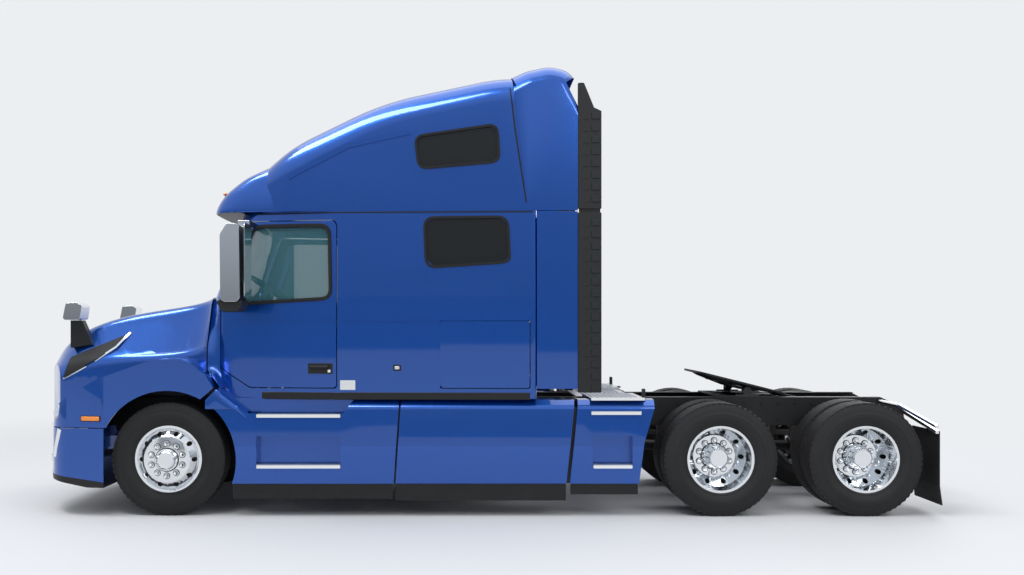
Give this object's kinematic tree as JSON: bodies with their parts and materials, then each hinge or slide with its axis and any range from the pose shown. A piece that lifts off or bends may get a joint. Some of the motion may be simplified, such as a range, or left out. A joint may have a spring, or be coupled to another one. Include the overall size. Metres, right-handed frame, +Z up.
{
  "type": "semi truck tractor unit",
  "caption": "Long-nose highway tractor unit with a raised-roof sleeper cab, tandem drive axles on twin wheels and a tipping fifth wheel coupling.",
  "frame": {"origin": "on the ground, in the middle of the overall length and width", "axes": "-X towards the front, -Y the driver's side, +Z up"},
  "size_m": [8.142, 3.06, 4.0277],
  "materials": {
    "blue_paint": "deep metallic gloss",
    "chassis_black": "satin black",
    "black_plastic": "grained",
    "dark_glass": "tinted",
    "clear_glass": "clear",
    "lamp_lens": "clear moulded",
    "tyre_rubber": "worn tread",
    "polished_aluminium": "polished",
    "tread_aluminium": "brushed, serrated",
    "bright_chrome": "mirror",
    "cast_black": "rough cast",
    "engine_grey": "painted casting",
    "rubber_black": "matt",
    "seat_fabric": "woven",
    "red_lens": "clear moulded"
  },
  "bodies": {
    "chassis": {"bumper": "blue_paint", "bunk": "seat_fabric", "cab_shell": "blue_paint", "dashboard": "black_plastic", "deck_plate": "tread_aluminium", "drive_axles": "chassis_black", "driveshaft": "chassis_black", "engine": "engine_grey", "fairing_bars": "chassis_black", "fifth_wheel_base": "cast_black", "flap_hangers": "bright_chrome", "frame": "chassis_black", "fuel_tanks": "tread_aluminium", "leaf_springs": "chassis_black", "mudflaps": "rubber_black", "radiator": "chassis_black", "rear_fairings": "blue_paint", "rear_suspension": "chassis_black", "roof_cap": "blue_paint", "roof_trim": "blue_paint", "seats": "seat_fabric", "side_extenders": "black_plastic", "side_panels": "blue_paint", "skirts": "black_plastic", "sleeper_windows": "dark_glass", "steer_axle": "chassis_black", "step_fairings": "blue_paint", "step_treads": "tread_aluminium", "tail_lamps": "red_lens", "tank_fairings": "blue_paint", "windshield": "clear_glass"},
    "hood": {"hood": "blue_paint", "grille": "black_plastic", "headlamps": "lamp_lens", "hood_mirrors": "bright_chrome", "hood_scoops": "black_plastic"},
    "door_left": {"door_left": "blue_paint", "door_glass_left": "clear_glass", "mirror_left": "bright_chrome"},
    "door_right": {"door_right": "blue_paint", "door_glass_right": "clear_glass", "mirror_right": "bright_chrome"},
    "hatch_left": {"hatch_left": "blue_paint"},
    "hatch_right": {"hatch_right": "blue_paint"},
    "knuckle_left": {"knuckle_left": "chassis_black"},
    "knuckle_right": {"knuckle_right": "chassis_black"},
    "front_wheel_left": {"front_tyre_left": "tyre_rubber", "front_rim_left": "polished_aluminium"},
    "front_wheel_right": {"front_tyre_right": "tyre_rubber", "front_rim_right": "polished_aluminium"},
    "forward_wheels_left": {"forward_tyres_left": "tyre_rubber", "forward_rims_left": "polished_aluminium"},
    "forward_wheels_right": {"forward_tyres_right": "tyre_rubber", "forward_rims_right": "polished_aluminium"},
    "rearward_wheels_left": {"rearward_tyres_left": "tyre_rubber", "rearward_rims_left": "polished_aluminium"},
    "rearward_wheels_right": {"rearward_tyres_right": "tyre_rubber", "rearward_rims_right": "polished_aluminium"},
    "fifth_wheel": {"fifth_wheel_plate": "cast_black"},
    "steering_wheel": {"steering_wheel": "black_plastic"}
  },
  "joints": [
    {"name": "hood_tilt", "type": "hinge", "parent": "chassis", "child": "hood", "pos_m": [-4.067, 0, 0.79], "axis": [0, -1, 0], "range_deg": [0, 70]},
    {"name": "door_left_hinge", "type": "hinge", "parent": "chassis", "child": "door_left", "pos_m": [-2.389, -1.012, 1.6], "axis": [0, 0, -1], "range_deg": [0, 70]},
    {"name": "door_right_hinge", "type": "hinge", "parent": "chassis", "child": "door_right", "pos_m": [-2.389, 1.012, 1.6], "axis": [0, 0, 1], "range_deg": [0, 70]},
    {"name": "hatch_left_hinge", "type": "hinge", "parent": "chassis", "child": "hatch_left", "pos_m": [-0.3865, -1.192, 1.44], "axis": [0, 0, -1], "range_deg": [0, 90]},
    {"name": "hatch_right_hinge", "type": "hinge", "parent": "chassis", "child": "hatch_right", "pos_m": [-0.3865, 1.192, 1.44], "axis": [0, 0, 1], "range_deg": [0, 90]},
    {"name": "steer_left", "type": "hinge", "parent": "chassis", "child": "knuckle_left", "pos_m": [-2.809, -0.87, 0.505], "axis": [0, 0, 1], "range_deg": [-40, 40]},
    {"name": "steer_right", "type": "hinge", "parent": "chassis", "child": "knuckle_right", "pos_m": [-2.809, 0.87, 0.505], "axis": [0, 0, 1], "range_deg": [-40, 40]},
    {"name": "steering_wheel_turn", "type": "hinge", "parent": "chassis", "child": "steering_wheel", "pos_m": [-2.009, -0.55, 2.036], "axis": [0.5592, 0, 0.829], "range_deg": [-720, 720]},
    {"name": "front_wheel_left_spin", "type": "hinge", "parent": "knuckle_left", "child": "front_wheel_left", "pos_m": [-2.809, 0, 0.505], "axis": [0, 1, 0], "continuous": true},
    {"name": "front_wheel_right_spin", "type": "hinge", "parent": "knuckle_right", "child": "front_wheel_right", "pos_m": [-2.809, 0, 0.505], "axis": [0, 1, 0], "continuous": true},
    {"name": "forward_wheels_left_spin", "type": "hinge", "parent": "chassis", "child": "forward_wheels_left", "pos_m": [2.106, 0, 0.505], "axis": [0, 1, 0], "continuous": true},
    {"name": "forward_wheels_right_spin", "type": "hinge", "parent": "chassis", "child": "forward_wheels_right", "pos_m": [2.106, 0, 0.505], "axis": [0, 1, 0], "continuous": true},
    {"name": "rearward_wheels_left_spin", "type": "hinge", "parent": "chassis", "child": "rearward_wheels_left", "pos_m": [3.396, 0, 0.505], "axis": [0, 1, 0], "continuous": true},
    {"name": "rearward_wheels_right_spin", "type": "hinge", "parent": "chassis", "child": "rearward_wheels_right", "pos_m": [3.396, 0, 0.505], "axis": [0, 1, 0], "continuous": true},
    {"name": "fifth_wheel_tip", "type": "hinge", "parent": "chassis", "child": "fifth_wheel", "pos_m": [2.541, 0, 1.075], "axis": [0, -1, 0], "range_deg": [0, 26]}
  ],
  "couplings": [
    {"joint": "steer_right", "follows": "steer_left", "ratio": 1},
    {"joint": "steering_wheel_turn", "follows": "steer_left", "ratio": 18}
  ]
}
